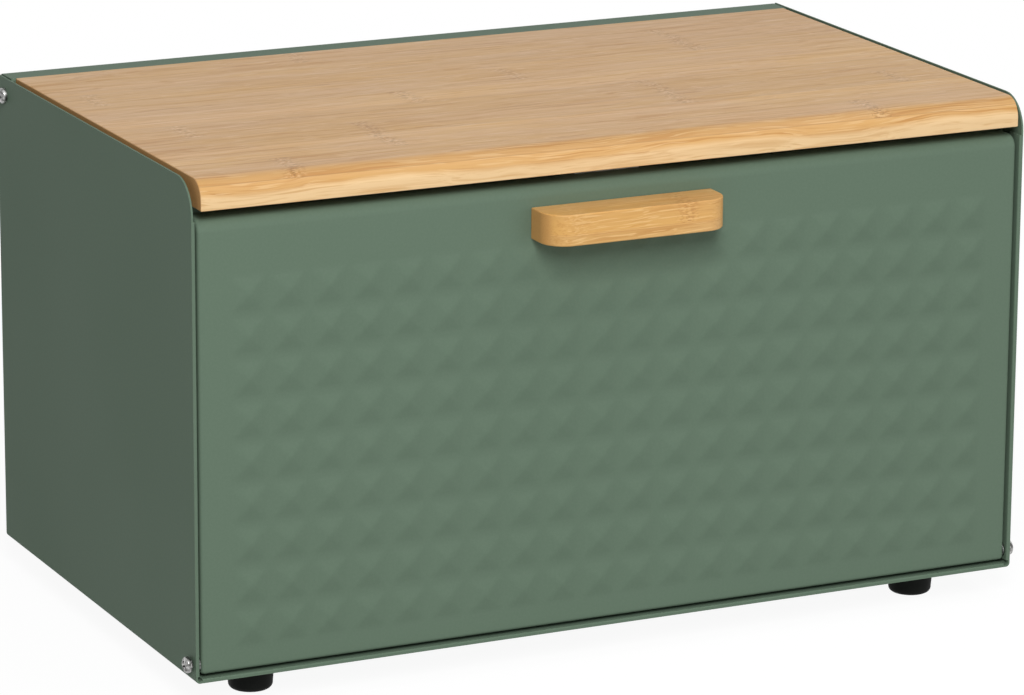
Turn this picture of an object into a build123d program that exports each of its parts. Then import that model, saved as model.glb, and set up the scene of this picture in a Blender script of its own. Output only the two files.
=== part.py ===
# Bread box: folded steel cabinet, bamboo top board and a drop-down steel flap with a bamboo grip.
# Millimetres, +Z up, front towards -Y. The origin is on the floor, in the middle of the whole object.
from build123d import *
import math
import os

os.makedirs("parts", exist_ok=True)

# Cabinet sheet metal
cabinet_width = 360.0
cabinet_depth = 210.0
cabinet_height = 197.0
sheet = 0.8
bend_radius = 1.7
plate_corner_radius = 14.0
hem_width = 8.0
hem_edge_radius = 0.6
hem_end_gap = 1.0

# Bamboo top board
board_thickness = 11.7
board_side_gap = 2.6
board_front_overhang = 1.5
board_rise = 0.35
board_nose_radius = 8.0
board_edge_radius = 0.5
board_back_gap = 0.3

# Back panel folds
ledge_depth = 12.4
shelf_depth = 14.0
side_flange_depth = 18.0
floor_flange_depth = 15.0
flange_radius = 1.0
flange_top_drop = 2.8
rear_nut_gap = 0.3
rear_screw_drop = 7.3

# Rubber feet
foot_height = 13.2
foot_diameter = 19.6
foot_tip_diameter = 17.6
foot_edge = 1.6
foot_side_inset = 32.7
foot_end_inset = 24.9
stem_diameter = 7.0
stem_clearance = 0.1
barb_diameter = 9.0
barb_tip_diameter = 4.5
barb_height = 1.8

# Flap pan
door_side_gap = 1.1
door_bottom_gap = 1.4
door_top_gap = 4.1
door_recess = 0.8
pan_depth = 12.0
pan_top_radius = 5.0
pan_bottom_radius = 1.6
pan_side_radius = 1.3
lip_height = 12.0
lip_end_gap = 4.0

# Pressed pattern on the flap
cell_pitch = 16.5
cell_land = 3.0
cell_height = 1.2
pattern_side_margin = 12.0
pattern_bottom_margin = 8.3
pattern_top_margin = 0.7

# Flap pivots
pivot_setback = 4.0
pivot_rise = 3.7
pivot_clearance = 0.05
pivot_end_play = 0.15
pivot_head_gap = 0.9

# Bamboo grip
grip_length = 78.0
grip_height = 12.5
grip_projection = 18.0
grip_end_radius = 10.0
grip_edge_ease = 0.5
grip_top_drop = 8.2
grip_screw_spacing = 50.0

# Machine screws and nuts
screw_diameter = 3.0
screw_head_diameter = 6.4
screw_head_height = 2.6
screw_head_ease = 0.45
screw_recess_width = 3.6
screw_recess_slot = 0.8
screw_recess_depth = 1.3
nut_diameter = 4.8
nut_thickness = 1.5
nut_chamfer = 0.4
hole_clearance = 0.1
pivot_washer_diameter = 7.0

# Wood screws
wood_screw_diameter = 3.0
wood_screw_head_diameter = 6.0
wood_screw_head_height = 2.0
wood_screw_bite = 9.0
grip_screw_bite = 12.0
grip_washer_diameter = 8.0
grip_washer_thickness = 0.8

# Board rails on the side plates
rail_leg = 15.0
rail_front_clearance = 0.3
rail_back_gap = 2.0
rail_screw_inset = 22.0
rail_tab_height = 13.0
shelf_screw_spacing = 220.0

# Bumper pads on the rails
bumper_diameter = 8.0
bumper_thickness = 2.0
bumper_drop = 8.5

# Magnetic catch under the board
catch_width = 46.0
catch_depth = 13.0
catch_height = 13.0
catch_wall = 1.5
catch_ear = 9.0
catch_ear_thickness = 2.5
magnet_width = 24.0
magnet_height = 5.0
magnet_depth = 9.0
pole_thickness = 1.2
pole_reach = 0.8
catch_gap = 0.3
magnet_drop = 9.0

# Places worked out from the sizes
overall_depth = cabinet_depth + grip_projection - door_recess
back_y = overall_depth / 2
front_y = back_y - cabinet_depth
floor_z = foot_height
plate_top_z = floor_z + cabinet_height
side_in = cabinet_width / 2 - sheet
hem_in = side_in - sheet
hem_top_z = floor_z + 2 * sheet

board_top_z = plate_top_z + board_rise
board_bottom_z = board_top_z - board_thickness
board_width = cabinet_width - 2 * (sheet + board_side_gap)
board_front_y = front_y - board_front_overhang
board_back_y = back_y - ledge_depth - board_back_gap
board_depth = board_back_y - board_front_y

door_face_y = front_y + door_recess
door_back_y = door_face_y + pan_depth
door_width = 2 * (hem_in - door_side_gap)
door_bottom_z = hem_top_z + door_bottom_gap
door_top_z = board_bottom_z - door_top_gap
door_height = door_top_z - door_bottom_z
door_middle_z = (door_top_z + door_bottom_z) / 2

pivot_y = door_face_y + pivot_setback
pivot_z = door_bottom_z + pivot_rise

grip_top_z = door_top_z - grip_top_drop
grip_middle_z = grip_top_z - grip_height / 2

pattern_bottom_z = door_bottom_z + pattern_bottom_margin
pattern_room = grip_top_z - grip_height - pattern_top_margin - pattern_bottom_z
cell_columns = math.floor((door_width - 2 * pattern_side_margin) / cell_pitch)
cell_rows = math.floor(pattern_room / cell_pitch)
pattern_middle_z = pattern_bottom_z + cell_rows * cell_pitch / 2
cell_base = cell_pitch - cell_land

rail_front_y = door_back_y + rail_front_clearance + bumper_thickness
rail_back_y = back_y - max(side_flange_depth, ledge_depth + shelf_depth) - rail_back_gap
rear_screw_y = back_y - ledge_depth + sheet + nut_diameter / 2 + rear_nut_gap
rear_screw_z = plate_top_z - rear_screw_drop
foot_places = {
    "foot_front_left": (-cabinet_width / 2 + foot_side_inset, front_y + foot_end_inset),
    "foot_front_right": (cabinet_width / 2 - foot_side_inset, front_y + foot_end_inset),
    "foot_rear_left": (-cabinet_width / 2 + foot_side_inset, back_y - foot_end_inset),
    "foot_rear_right": (cabinet_width / 2 - foot_side_inset, back_y - foot_end_inset),
}


def save(builder, name):
    builder.part.label = name
    export_step(builder.part, f"parts/{name}.step")


def side_plane(x, y, z, sign):
    """A plane on a side of the box whose normal points outwards, away from the middle."""
    return Plane(origin=(x, y, z), x_dir=(0, sign, 0), z_dir=(sign, 0, 0))


def pan_head_screw(plane, diameter, head_diameter, head_height, length, recess=False):
    """A screw whose head sits on the plane and whose shank runs back from it."""
    with BuildPart() as screw:
        with BuildSketch(plane):
            Circle(head_diameter / 2)
        extrude(amount=head_height)
        rim = screw.edges().filter_by(GeomType.CIRCLE).sort_by_distance(plane.origin)[-1]
        chamfer(rim, head_height * screw_head_ease)
        if recess:
            with BuildSketch(plane.offset(head_height - screw_recess_depth)):
                Rectangle(screw_recess_width, screw_recess_slot)
                Rectangle(screw_recess_slot, screw_recess_width)
            extrude(amount=screw_recess_depth, mode=Mode.SUBTRACT)
        with BuildSketch(plane):
            Circle(diameter / 2)
        extrude(amount=-length)
    return screw.part


def clinch_nut(plane):
    """A round nut that stands on the plane, with its rim eased where it meets the sheet."""
    with BuildPart() as nut:
        with BuildSketch(plane):
            Circle(nut_diameter / 2)
        extrude(amount=nut_thickness)
        chamfer(nut.edges().filter_by(GeomType.CIRCLE), nut_chamfer)
        with BuildSketch(plane):
            Circle((screw_diameter + hole_clearance) / 2)
        extrude(amount=nut_thickness, mode=Mode.SUBTRACT)
    return nut.part


# Body shell: one sheet folded up into both side plates and the floor, with folded-over front edges
mid_width = cabinet_width / 2 - sheet / 2
with BuildPart() as body_shell:
    with BuildSketch(Plane.XZ.offset(-back_y)):
        with BuildLine():
            FilletPolyline(
                (-mid_width, plate_top_z),
                (-mid_width, floor_z + sheet / 2),
                (mid_width, floor_z + sheet / 2),
                (mid_width, plate_top_z),
                radius=bend_radius - sheet / 2,
            )
        trace(line_width=sheet)
    extrude(amount=cabinet_depth)
    front_corners = body_shell.edges().filter_by(Axis.X).group_by(Axis.Z)[-1].group_by(Axis.Y)[0]
    fillet(front_corners, plate_corner_radius)
    hem_bottom_z = floor_z + bend_radius + hem_end_gap
    hem_height = door_top_z - hem_bottom_z
    for sign in (-1, 1):
        with BuildSketch(Plane.XY.offset(hem_bottom_z)):
            with Locations((sign * (side_in - sheet / 2), front_y + hem_width / 2)):
                Rectangle(sheet, hem_width)
        extrude(amount=hem_height)
    floor_hem_length = 2 * (cabinet_width / 2 - bend_radius - hem_end_gap)
    with BuildSketch(Plane.XY.offset(floor_z + sheet)):
        with Locations((0, front_y + hem_width / 2)):
            Rectangle(floor_hem_length, hem_width)
    extrude(amount=sheet)
    hem_edges = body_shell.edges().filter_by(Axis.Z).group_by(Axis.Y)[0].filter_by(
        lambda edge: abs(abs(edge.center().X) - hem_in) < sheet / 2
    )
    fillet(hem_edges, hem_edge_radius)
    front_edges = body_shell.edges().filter_by(Axis.X).group_by(Axis.Y)[0]
    long_edges = front_edges.filter_by(lambda edge: edge.length > cabinet_width / 2)
    fillet(long_edges.sort_by(Axis.Z)[-1], hem_edge_radius)
    for x, y in foot_places.values():
        with Locations((x, y, floor_z + sheet / 2)):
            Cylinder((stem_diameter + stem_clearance) / 2, 2 * sheet, mode=Mode.SUBTRACT)
    pivot_hole = screw_diameter / 2 + pivot_clearance
    rear_hole = (screw_diameter + hole_clearance) / 2
    for sign in (-1, 1):
        with BuildSketch(side_plane(sign * cabinet_width / 2, pivot_y, pivot_z, sign)):
            Circle(pivot_hole)
        extrude(amount=-3 * sheet, mode=Mode.SUBTRACT)
        with BuildSketch(side_plane(sign * cabinet_width / 2, rear_screw_y, rear_screw_z, sign)):
            Circle(rear_hole)
        extrude(amount=-2 * sheet, mode=Mode.SUBTRACT)
save(body_shell, "body_shell")

# Back panel: floor flange, upright, ledge, and a step down to a shelf under the board
ledge_end = side_in - flange_radius
with BuildPart() as back_panel:
    with BuildSketch(Plane.YZ.offset(-ledge_end)):
        with BuildLine():
            FilletPolyline(
                (back_y - floor_flange_depth, floor_z + 1.5 * sheet),
                (back_y - sheet / 2, floor_z + 1.5 * sheet),
                (back_y - sheet / 2, plate_top_z - sheet / 2),
                (back_y - ledge_depth + sheet / 2, plate_top_z - sheet / 2),
                (back_y - ledge_depth + sheet / 2, board_bottom_z - sheet / 2),
                (back_y - ledge_depth - shelf_depth, board_bottom_z - sheet / 2),
                radius=flange_radius - sheet / 2,
            )
        trace(line_width=sheet)
    extrude(amount=2 * ledge_end)
    flange_bottom_z = floor_z + bend_radius + hem_end_gap
    for sign in (-1, 1):
        flange_x = sign * (side_in - sheet / 2)
        with BuildSketch(Plane.XY.offset(flange_bottom_z)):
            with BuildLine():
                FilletPolyline(
                    (flange_x, back_y - side_flange_depth),
                    (flange_x, back_y - sheet / 2),
                    (sign * (side_in - side_flange_depth / 2), back_y - sheet / 2),
                    radius=flange_radius - sheet / 2,
                )
            trace(line_width=sheet)
        extrude(amount=plate_top_z - flange_top_drop - flange_bottom_z)
        with BuildSketch(side_plane(sign * side_in, rear_screw_y, rear_screw_z, sign)):
            Circle(rear_hole)
        extrude(amount=-1.5 * sheet, mode=Mode.SUBTRACT)
    shelf_screw_y = back_y - ledge_depth - shelf_depth / 2
    with Locations(
        (-shelf_screw_spacing / 2, shelf_screw_y, board_bottom_z),
        (shelf_screw_spacing / 2, shelf_screw_y, board_bottom_z),
    ):
        Cylinder((wood_screw_diameter + hole_clearance) / 2, 4 * sheet, mode=Mode.SUBTRACT)
save(back_panel, "back_panel")

# Board rails: angles under both ends of the board, with a turned-down front tab for the bumper pad
rail_screw_x = side_in - board_side_gap - (rail_leg - board_side_gap) / 2
rail_screw_ys = (rail_front_y + rail_screw_inset, rail_back_y - rail_screw_inset)
for name, sign in (("left_board_rail", -1), ("right_board_rail", 1)):
    with BuildPart() as rail:
        with BuildSketch(Plane.XZ.offset(-rail_back_y)):
            with BuildLine():
                FilletPolyline(
                    (sign * (side_in - sheet / 2), board_bottom_z - rail_leg),
                    (sign * (side_in - sheet / 2), board_bottom_z - sheet / 2),
                    (sign * (side_in - rail_leg), board_bottom_z - sheet / 2),
                    radius=flange_radius - sheet / 2,
                )
            trace(line_width=sheet)
        extrude(amount=rail_back_y - rail_front_y)
        tab_width = rail_leg - sheet - flange_radius
        with BuildSketch(Plane.XZ.offset(-rail_front_y)):
            tab_x = sign * (side_in - rail_leg + tab_width / 2)
            with Locations((tab_x, board_bottom_z - rail_tab_height / 2)):
                Rectangle(tab_width, rail_tab_height)
        extrude(amount=-sheet)
        for y in rail_screw_ys:
            with Locations((sign * rail_screw_x, y, board_bottom_z)):
                Cylinder((wood_screw_diameter + hole_clearance) / 2, 4 * sheet, mode=Mode.SUBTRACT)
    save(rail, name)

# Bumper pads: soft discs on the rail tabs that the closed flap stops against
for name, sign in (("left_bumper", -1), ("right_bumper", 1)):
    with BuildPart() as bumper:
        with BuildSketch(Plane.XZ.offset(-rail_front_y)):
            bumper_x = sign * (side_in - rail_leg + tab_width / 2)
            with Locations((bumper_x, board_bottom_z - bumper_drop)):
                Circle(bumper_diameter / 2)
        extrude(amount=bumper_thickness)
        chamfer(bumper.edges().group_by(Axis.Y)[0], bumper_thickness / 3)
    save(bumper, name)

# Top board: bamboo panel with a rounded front edge and blind screw holes underneath
board_screw_places = [
    (sign * rail_screw_x, y) for sign in (-1, 1) for y in rail_screw_ys
] + [(sign * shelf_screw_spacing / 2, shelf_screw_y) for sign in (-1, 1)]
catch_front_y = door_back_y + catch_gap + pole_reach
catch_screw_x = catch_width / 2 - catch_ear / 2
catch_screw_y = catch_front_y + catch_depth / 2
pilot_radius = (wood_screw_diameter + hole_clearance) / 2
with BuildPart() as top_board:
    with BuildSketch(Plane.XY.offset(board_bottom_z)):
        with Locations((0, (board_front_y + board_back_y) / 2)):
            Rectangle(board_width, board_depth)
    extrude(amount=board_thickness)
    nose = top_board.edges().filter_by(Axis.X).group_by(Axis.Z)[-1].group_by(Axis.Y)[0]
    fillet(nose, board_nose_radius)
    board_ends = top_board.faces().filter_by(Axis.X)
    fillet(board_ends.edges().group_by(Axis.Z)[-1], board_edge_radius)
    for x, y in board_screw_places:
        with Locations((x, y, board_bottom_z)):
            Cylinder(pilot_radius, 2 * wood_screw_bite + 2 * hole_clearance, mode=Mode.SUBTRACT)
    for sign in (-1, 1):
        with Locations((sign * catch_screw_x, catch_screw_y, board_bottom_z)):
            Cylinder(pilot_radius, 2 * wood_screw_bite + 2 * hole_clearance, mode=Mode.SUBTRACT)
save(top_board, "top_board")

# Board screws: pan-head wood screws driven up through the rails and the rear shelf
with BuildPart() as board_screws:
    for x, y in board_screw_places:
        under = Plane(origin=(x, y, board_bottom_z - sheet), z_dir=(0, 0, -1))
        add(pan_head_screw(under, wood_screw_diameter, wood_screw_head_diameter,
                           wood_screw_head_height, sheet + wood_screw_bite))
save(board_screws, "board_screws")

# Rear screws and nuts that tie the back panel to the side plates
for side, sign in (("left", -1), ("right", 1)):
    with BuildPart() as rear_screw:
        outside = side_plane(sign * cabinet_width / 2, rear_screw_y, rear_screw_z, sign)
        add(pan_head_screw(outside, screw_diameter, screw_head_diameter, screw_head_height,
                           2 * sheet + nut_thickness, recess=True))
    save(rear_screw, f"rear_screw_{side}")
    with BuildPart() as rear_nut:
        add(clinch_nut(side_plane(sign * hem_in, rear_screw_y, rear_screw_z, -sign)))
    save(rear_nut, f"rear_nut_{side}")

# Feet: tapered rubber buffers with a stem and a barb that snaps through the floor
for name, (x, y) in foot_places.items():
    foot_plane = Plane(origin=(x, y, 0), x_dir=(1, 0, 0), z_dir=(0, -1, 0))
    stem_radius = stem_diameter / 2
    barb_z = floor_z + sheet + stem_clearance / 2
    with BuildPart() as foot:
        with BuildSketch(foot_plane):
            with BuildLine():
                Polyline(
                    (0, 0),
                    (foot_tip_diameter / 2 - foot_edge, 0),
                    (foot_tip_diameter / 2, foot_edge),
                    (foot_diameter / 2, floor_z),
                    (stem_radius, floor_z),
                    (stem_radius, barb_z),
                    (barb_diameter / 2, barb_z),
                    (barb_tip_diameter / 2, barb_z + barb_height),
                    (0, barb_z + barb_height),
                    close=True,
                )
            make_face()
        revolve(axis=Axis((x, y, 0), (0, 0, 1)))
    save(foot, name)

# Catch housing: moulded block with two screw ears and a mouth for the magnet pack
pack_height = magnet_height + 2 * pole_thickness
magnet_z = board_bottom_z - magnet_drop
housing_width = catch_width - 2 * catch_ear
with BuildPart() as catch_housing:
    with BuildSketch(Plane.XY.offset(board_bottom_z)):
        with Locations((0, catch_front_y + catch_depth / 2)):
            Rectangle(housing_width, catch_depth)
    extrude(amount=-catch_height)
    fillet(catch_housing.edges().filter_by(Axis.Y), catch_wall / 2)
    with BuildSketch(Plane.XY.offset(board_bottom_z)):
        with Locations((0, catch_front_y + catch_depth / 2)):
            RectangleRounded(catch_width, catch_depth, catch_wall)
    extrude(amount=-catch_ear_thickness)
    with BuildSketch(Plane.XZ.offset(-catch_front_y)):
        with Locations((0, magnet_z)):
            Rectangle(magnet_width + 2 * hole_clearance, pack_height + 2 * hole_clearance)
    extrude(amount=-(magnet_depth + hole_clearance), mode=Mode.SUBTRACT)
    for sign in (-1, 1):
        with Locations((sign * catch_screw_x, catch_screw_y, board_bottom_z)):
            Cylinder(pilot_radius, 4 * catch_ear_thickness, mode=Mode.SUBTRACT)
save(catch_housing, "catch_housing")

# Catch magnet between two steel pole plates that reach out of the housing towards the flap lip
with BuildPart() as catch_magnet:
    with BuildSketch(Plane.XZ.offset(-catch_front_y)):
        with Locations((0, magnet_z)):
            Rectangle(magnet_width, magnet_height)
    extrude(amount=-magnet_depth)
save(catch_magnet, "catch_magnet")
with BuildPart() as catch_poles:
    with BuildSketch(Plane.XZ.offset(-catch_front_y)):
        pole_shift = (magnet_height + pole_thickness) / 2
        with Locations((0, magnet_z - pole_shift), (0, magnet_z + pole_shift)):
            Rectangle(magnet_width, pole_thickness)
    extrude(amount=-magnet_depth)
    extrude(catch_poles.faces().group_by(Axis.Y)[0], amount=pole_reach)
save(catch_poles, "catch_poles")
with BuildPart() as catch_screws:
    for sign in (-1, 1):
        ear_under = Plane(origin=(sign * catch_screw_x, catch_screw_y, board_bottom_z - catch_ear_thickness),
                          z_dir=(0, 0, -1))
        add(pan_head_screw(ear_under, wood_screw_diameter, wood_screw_head_diameter,
                           wood_screw_head_height, catch_ear_thickness + wood_screw_bite))
save(catch_screws, "catch_screws")

# Flap: pressed steel pan with a rolled top edge, a return lip behind it and rows of raised pyramids
pattern_plane = Plane(origin=(0, door_face_y, pattern_middle_z), x_dir=(1, 0, 0), z_dir=(0, -1, 0))
grip_screw_hole = (wood_screw_diameter + hole_clearance) / 2
with BuildPart() as door_panel:
    with BuildSketch(Plane.YZ.offset(-door_width / 2)) as pan_outline:
        with Locations(((door_face_y + door_back_y) / 2, door_middle_z)):
            Rectangle(pan_depth, door_height)
        lower_corner, upper_corner = pan_outline.vertices().group_by(Axis.X)[0].sort_by(Axis.Y)
        fillet(lower_corner, pan_bottom_radius)
        fillet(upper_corner, pan_top_radius)
    extrude(amount=door_width)
    end_edges = door_panel.faces().filter_by(Axis.X).edges()
    fillet(end_edges.filter_by(lambda edge: edge.center().Y < door_back_y - sheet), pan_side_radius)
    offset(amount=-sheet, openings=door_panel.faces().sort_by(Axis.Y)[-1])
    with BuildSketch(Plane.XZ.offset(-door_back_y)):
        with Locations((0, door_top_z - lip_height / 2)):
            Rectangle(door_width - 2 * lip_end_gap, lip_height)
    extrude(amount=sheet)
    for plane, mode in ((pattern_plane, Mode.ADD), (pattern_plane.offset(-sheet), Mode.SUBTRACT)):
        with Locations(plane):
            with GridLocations(cell_pitch, cell_pitch, cell_columns, cell_rows):
                Wedge(cell_base, cell_height, cell_base,
                      cell_base / 2, cell_base / 2, cell_base / 2, cell_base / 2,
                      rotation=(90, 0, 0), align=(Align.CENTER, Align.MIN, Align.CENTER), mode=mode)
    for sign in (-1, 1):
        with BuildSketch(side_plane(sign * door_width / 2, pivot_y, pivot_z, sign)):
            Circle((screw_diameter + hole_clearance) / 2)
        extrude(amount=-2 * sheet, mode=Mode.SUBTRACT)
    with BuildSketch(Plane.XZ.offset(-door_face_y)):
        with Locations((-grip_screw_spacing / 2, grip_middle_z), (grip_screw_spacing / 2, grip_middle_z)):
            Circle(grip_screw_hole)
    extrude(amount=-2 * sheet, mode=Mode.SUBTRACT)
save(door_panel, "door_panel")

# Grip: bamboo bar with rounded front corners and eased edges
with BuildPart() as grip:
    with BuildSketch(Plane.XY.offset(grip_top_z - grip_height)) as grip_outline:
        with Locations((0, door_face_y - grip_projection / 2)):
            Rectangle(grip_length, grip_projection)
        fillet(grip_outline.vertices().group_by(Axis.Y)[0], grip_end_radius)
    extrude(amount=grip_height)
    grip_ends = grip.faces().filter_by(Axis.Z)
    front_edges = grip_ends.edges().filter_by(lambda edge: edge.center().Y < door_face_y - grip_edge_ease)
    chamfer(front_edges, grip_edge_ease)
    with BuildSketch(Plane.XZ.offset(-door_face_y)):
        with Locations((-grip_screw_spacing / 2, grip_middle_z), (grip_screw_spacing / 2, grip_middle_z)):
            Circle(grip_screw_hole)
    extrude(amount=grip_screw_bite + hole_clearance, mode=Mode.SUBTRACT)
save(grip, "grip")

# Grip screws and washers inside the pan
head_y = door_face_y + sheet + grip_washer_thickness
with BuildPart() as grip_screws:
    for sign in (-1, 1):
        inside = Plane(origin=(sign * grip_screw_spacing / 2, head_y, grip_middle_z), z_dir=(0, 1, 0))
        add(pan_head_screw(inside, wood_screw_diameter, wood_screw_head_diameter,
                           wood_screw_head_height, head_y - door_face_y + grip_screw_bite))
save(grip_screws, "grip_screws")
with BuildPart() as grip_washers:
    with BuildSketch(Plane.XZ.offset(-head_y)):
        with Locations((-grip_screw_spacing / 2, grip_middle_z), (grip_screw_spacing / 2, grip_middle_z)):
            Circle(grip_washer_diameter / 2)
            Circle(grip_screw_hole, mode=Mode.SUBTRACT)
    extrude(amount=grip_washer_thickness)
save(grip_washers, "grip_washers")

# Pivots: a screw on each side turns in the side plate, with a washer in the gap and a nut in the pan
washer_thickness = door_side_gap - pivot_end_play
for side, sign in (("left", -1), ("right", 1)):
    with BuildPart() as pivot_screw:
        head_x = sign * (cabinet_width / 2 + pivot_head_gap)
        pivot_length = pivot_head_gap + 3 * sheet + door_side_gap + nut_thickness
        add(pan_head_screw(side_plane(head_x, pivot_y, pivot_z, sign), screw_diameter,
                           screw_head_diameter, screw_head_height, pivot_length, recess=True))
    save(pivot_screw, f"pivot_screw_{side}")
    with BuildPart() as pivot_washer:
        with BuildSketch(side_plane(sign * door_width / 2, pivot_y, pivot_z, sign)):
            Circle(pivot_washer_diameter / 2)
            Circle((screw_diameter + hole_clearance) / 2, mode=Mode.SUBTRACT)
        extrude(amount=washer_thickness)
    save(pivot_washer, f"pivot_washer_{side}")
    with BuildPart() as pivot_nut:
        add(clinch_nut(side_plane(sign * (door_width / 2 - sheet), pivot_y, pivot_z, -sign)))
    save(pivot_nut, f"pivot_nut_{side}")
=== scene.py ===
# Bread box: sage-green steel cabinet and flap, bamboo board and grip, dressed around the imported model.
# Metres throughout, +Z up, front towards -Y.
import math

import bmesh
import bpy
from mathutils import Matrix, Vector


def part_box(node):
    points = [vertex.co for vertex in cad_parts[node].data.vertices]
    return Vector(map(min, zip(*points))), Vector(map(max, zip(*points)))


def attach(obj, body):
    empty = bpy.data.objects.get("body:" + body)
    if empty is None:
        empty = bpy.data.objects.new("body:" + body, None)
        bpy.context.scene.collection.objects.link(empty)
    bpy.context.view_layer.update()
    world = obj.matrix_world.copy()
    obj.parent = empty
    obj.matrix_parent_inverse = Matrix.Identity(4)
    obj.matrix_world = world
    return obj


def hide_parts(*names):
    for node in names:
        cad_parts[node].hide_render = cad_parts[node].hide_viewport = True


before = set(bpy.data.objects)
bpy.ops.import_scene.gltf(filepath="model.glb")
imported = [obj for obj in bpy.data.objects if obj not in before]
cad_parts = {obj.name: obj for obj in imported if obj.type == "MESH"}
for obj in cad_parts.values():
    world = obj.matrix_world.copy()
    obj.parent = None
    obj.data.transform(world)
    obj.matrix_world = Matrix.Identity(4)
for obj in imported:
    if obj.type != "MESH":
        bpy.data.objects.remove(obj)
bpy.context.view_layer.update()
MM = 0.001

# Sizes that the frame gives
shell_low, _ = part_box("body_shell")
board_low, board_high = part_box("top_board")
door_low, door_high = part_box("door_panel")
grip_low, grip_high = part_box("grip")
foot_low, foot_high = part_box("foot_front_left")

# Sheet metal and flap
SHEET = 0.8 * MM
FACE_RECESS = 0.8 * MM
face_y = shell_low.y + FACE_RECESS
PAN_DEPTH = 12.0 * MM
PAN_TOP_ROUND = 5.0 * MM
PAN_BOTTOM_ROUND = 1.6 * MM
PAN_SIDE_ROUND = 1.3 * MM
LIP_HEIGHT = 12.0 * MM
LIP_END_GAP = 4.0 * MM
BOTTOM_BEND_STEPS = 6
TOP_BEND_STEPS = 12
SIDE_BEND_STEPS = 5
LOW_MARGIN_STEPS = 3
HIGH_MARGIN_STEPS = 6

# Pressed pattern; the softness at a pyramid's foot is a share of its height
CELL_PITCH = 16.5 * MM
CELL_LAND = 3.0 * MM
CELL_HEIGHT = 1.2 * MM
CELL_SOFTNESS = 0.4 * MM
CELL_FOOT_SOFTNESS = 0.06
CELL_COLUMNS = 20
CELL_ROWS = 9
CELL_STEPS = 14
PATTERN_BOTTOM_MARGIN = 8.3 * MM

# Board and grip: their rounding, the width and first edge of their strips, and their lower plies
BOARD_NOSE = 8.0 * MM
BOARD_EASE = 0.45 * MM
BOARD_STRIP = 22.2 * MM
BOARD_STRIP_START = 2.0 * MM
BOARD_LOWER_PLY = 5.6 * MM
GRIP_END_ROUND = 10.0 * MM
GRIP_EASE = 0.6 * MM
GRIP_STRIP = 20.0 * MM
GRIP_STRIP_START = -16.0 * MM
GRIP_LOWER_PLY = 4.6 * MM

# Rounding of small edges, and how close two points of a CAD mesh lie to count as one
SHEET_EASE = 0.22 * MM
LIP_EASE = 0.25 * MM
SMALL_EASE = 0.12 * MM
MAGNET_EASE = 0.15 * MM
PAD_EASE = 0.2 * MM
HOUSING_EASE = 0.3 * MM
WELD = 0.002 * MM

# Feet and fasteners; CUT_SLIVER is the size of the scraps that cutting a recess can leave
FOOT_HEIGHT = 13.2 * MM
FOOT_TIP_RADIUS = 8.8 * MM
FOOT_EDGE = 2.2 * MM
FOOT_LEAN = 0.15 * MM
FOOT_SHOULDER = 0.6 * MM
STEM_RADIUS = 3.45 * MM
STEM_LENGTH = 0.9 * MM
BARB_RADIUS = 4.4 * MM
BARB_THICKNESS = 0.3 * MM
BARB_TIP_RADIUS = 2.3 * MM
HEAD_RADIUS = 3.2 * MM
HEAD_HEIGHT = 2.6 * MM
HEAD_SIDE = 1.3 * MM
HEAD_EDGE = 0.1 * MM
WOOD_HEAD = 2.0 * MM
DOME_RADIUS = 5.4 * MM
DOME_INSET = 0.45 * MM
CROSS_WIDTH = 3.8 * MM
CROSS_SLOT = 1.0 * MM
CROSS_DEPTH = 1.7 * MM
CUT_SLIVER = 0.02 * MM
SHANK_NECK = 1.35 * MM
SHANK_CREST = 1.45 * MM
SHANK_ROOT = 1.30 * MM
SHANK_TURNS = 14


# Node helpers

def put(tree, kind, settings=None, inputs=None):
    """Adds a node, sets its properties, and fills or links its inputs."""
    node = tree.nodes.new(kind)
    for key, value in (settings or {}).items():
        setattr(node, key, value)
    for key, value in (inputs or {}).items():
        if isinstance(value, bpy.types.NodeSocket):
            tree.links.new(value, node.inputs[key])
        else:
            node.inputs[key].default_value = value
    return node


def maths(tree, operation, first, second=0.0, third=0.0):
    return put(tree, "ShaderNodeMath", {"operation": operation}, {0: first, 1: second, 2: third}).outputs[0]


def remap(tree, value, low, high, new_low=0.0, new_high=1.0):
    """A smooth step of a value from one range to another."""
    node = put(tree, "ShaderNodeMapRange", {"interpolation_type": "SMOOTHSTEP"},
               {0: value, 1: low, 2: high, 3: new_low, 4: new_high})
    return node.outputs[0]


def noise(tree, vector, scale, detail=2.0, roughness=0.5, distortion=0.0):
    node = put(tree, "ShaderNodeTexNoise", {},
               {"Vector": vector, "Scale": scale, "Detail": detail, "Roughness": roughness,
                "Distortion": distortion})
    return node.outputs["Fac"]


def stretched(tree, vector, scale):
    """Object coordinates stretched by a factor on each axis, so that noise becomes grain."""
    return put(tree, "ShaderNodeMapping", {}, {"Vector": vector, "Scale": scale}).outputs[0]


def grain(tree, vector, scales, detail, roughness=0.5, distortion=0.0):
    return noise(tree, stretched(tree, vector, scales), 1.0, detail, roughness, distortion)


def blend_colours(tree, factor, first, second, mode="MIX"):
    node = put(tree, "ShaderNodeMix", {"data_type": "RGBA", "blend_type": mode})
    for socket, value in ((0, factor), (6, first), (7, second)):
        if isinstance(value, bpy.types.NodeSocket):
            tree.links.new(value, node.inputs[socket])
        else:
            node.inputs[socket].default_value = value
    return node.outputs[2]


def tinted(tree, tone, tint):
    return blend_colours(tree, 1.0, tone, tint, "MULTIPLY")


def rgba(red, green, blue):
    return (red, green, blue, 1.0)


def grey(level):
    return rgba(level, level, level)


def new_material(name):
    material = bpy.data.materials.new(name)
    material.use_nodes = True
    tree = material.node_tree
    shader = tree.nodes["Principled BSDF"]
    place = put(tree, "ShaderNodeTexCoord").outputs["Object"]
    return material, tree, shader, place


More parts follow.
